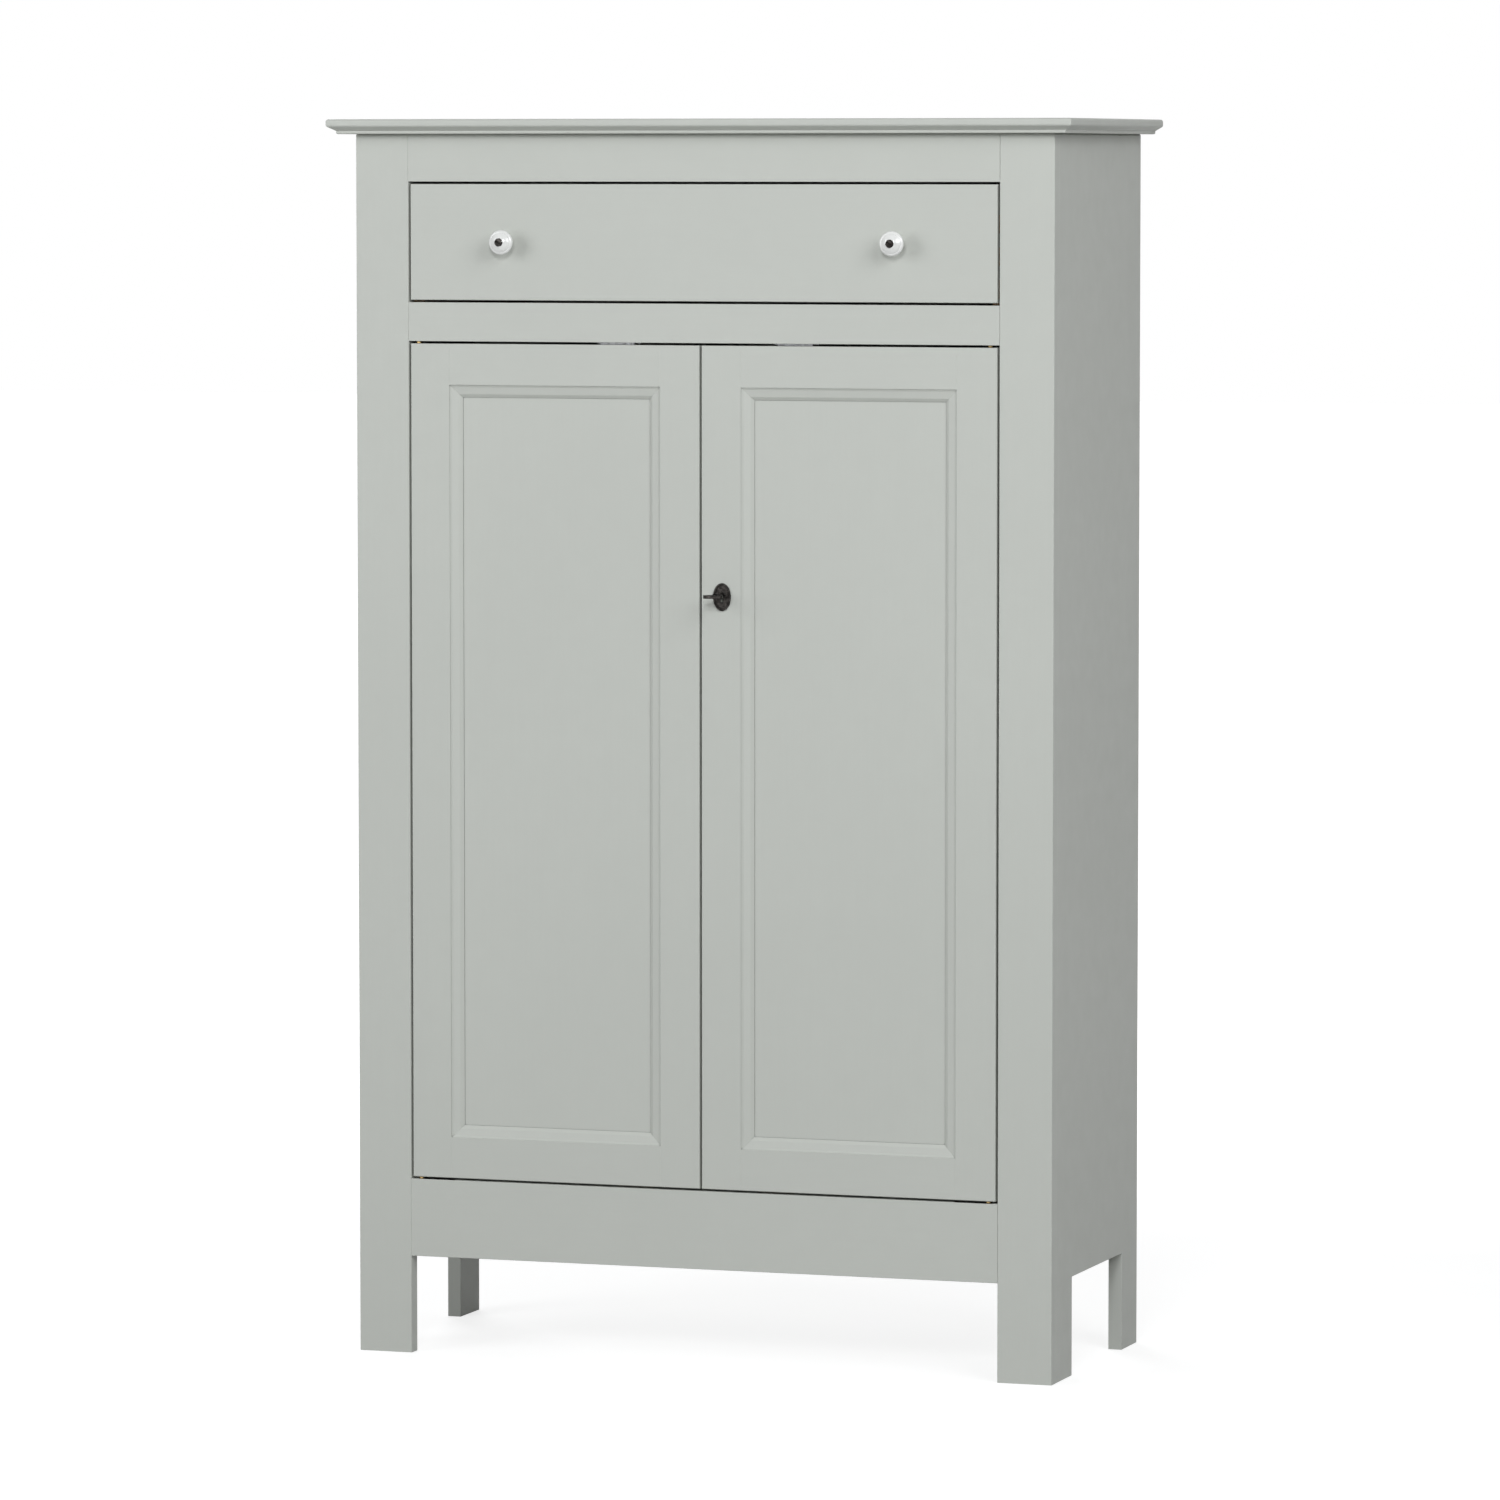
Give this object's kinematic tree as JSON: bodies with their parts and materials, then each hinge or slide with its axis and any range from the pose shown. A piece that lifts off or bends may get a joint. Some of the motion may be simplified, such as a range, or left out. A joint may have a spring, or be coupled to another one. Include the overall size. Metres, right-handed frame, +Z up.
{
  "type": "wardrobe",
  "caption": "Painted wardrobe with panelled doors under a wide drawer, a moulded cornice, feet cut from its sides, glazed knobs and a lock with its key.",
  "frame": {"origin": "on the floor, at the middle of the footprint of the whole outline, the key's bow and the cornice included", "axes": "+Z up, front towards -Y, +X to the viewer's right"},
  "size_m": [1, 0.435, 1.6],
  "materials": {
    "paint": "satin grey-green paint over wood",
    "inside_paint": "matt pale paint over board",
    "bare_wood": "planed, waxed softwood",
    "porcelain": "white glazed porcelain",
    "bronze": "dark aged bronze",
    "brass": "plain drawn brass",
    "steel": "zinc plated steel"
  },
  "bodies": {
    "cabinet": {"left_side_panel": "paint", "right_side_panel": "paint", "left_stile": "paint", "right_stile": "paint", "top_rail": "paint", "middle_rail": "paint", "bottom_rail": "paint", "cornice_board": "paint", "bottom_board": "inside_paint", "dust_board": "inside_paint", "back_panel": "inside_paint", "back_rail": "inside_paint", "lower_shelf": "inside_paint", "upper_shelf": "inside_paint", "shelf_pins": "steel", "left_drawer_runner": "bare_wood", "right_drawer_runner": "bare_wood", "left_kicker": "bare_wood", "right_kicker": "bare_wood", "drawer_stops": "bare_wood", "glue_blocks": "bare_wood", "door_stops": "bare_wood", "magnetic_catches": "steel", "hinge_frame_leaves": "brass", "frame_hinge_screws": "brass"},
    "drawer": {"drawer_front": "paint", "left_drawer_side": "bare_wood", "right_drawer_side": "bare_wood", "drawer_back": "bare_wood", "drawer_bottom": "bare_wood", "left_knob": "porcelain", "right_knob": "porcelain", "knob_bolts": "bronze", "knob_nuts": "steel"},
    "left_door": {"left_door_hinge_stile": "paint", "left_door_meeting_stile": "paint", "left_door_top_rail": "paint", "left_door_bottom_rail": "paint", "left_door_panel": "paint", "left_door_moulding": "paint", "left_door_leaves": "brass", "left_door_fittings": "steel", "slide_bolt_plates": "steel"},
    "upper_bolt": {"upper_slide_bolt": "steel"},
    "lower_bolt": {"lower_slide_bolt": "steel"},
    "right_door": {"right_door_hinge_stile": "paint", "right_door_meeting_stile": "paint", "right_door_top_rail": "paint", "right_door_bottom_rail": "paint", "right_door_panel": "paint", "right_door_moulding": "paint", "right_door_leaves": "brass", "right_door_fittings": "steel", "escutcheon": "bronze", "lock_case": "steel", "lock_cap": "steel"},
    "bolt": {"lock_bolt": "steel"},
    "key": {"key": "bronze", "lock_pinion": "brass"}
  },
  "joints": [
    {"name": "left_door_swing", "type": "hinge", "parent": "cabinet", "child": "left_door", "pos_m": [-0.385, -0.1665, 0.772], "axis": [0, 0, -1], "range_deg": [0, 110]},
    {"name": "right_door_swing", "type": "hinge", "parent": "cabinet", "child": "right_door", "pos_m": [0.385, -0.1665, 0.772], "axis": [0, 0, 1], "range_deg": [0, 110]},
    {"name": "drawer_slide", "type": "slide", "parent": "cabinet", "child": "drawer", "axis": [0, -1, 0], "range_m": [0, 0.28]},
    {"name": "key_turn", "type": "hinge", "parent": "right_door", "child": "key", "pos_m": [0.0295, -0.1725, 0.994], "axis": [0, -1, 0], "range_deg": [0, 90]},
    {"name": "lock_bolt_slide", "type": "slide", "parent": "right_door", "child": "bolt", "axis": [-1, 0, 0], "range_m": [0, 0.0073]},
    {"name": "upper_bolt_slide", "type": "slide", "parent": "left_door", "child": "upper_bolt", "axis": [0, 0, 1], "range_m": [0, 0.012]},
    {"name": "lower_bolt_slide", "type": "slide", "parent": "left_door", "child": "lower_bolt", "axis": [0, 0, -1], "range_m": [0, 0.012]}
  ],
  "couplings": [
    {"joint": "lock_bolt_slide", "follows": "key_turn", "m_per_rad": 0.0046}
  ]
}
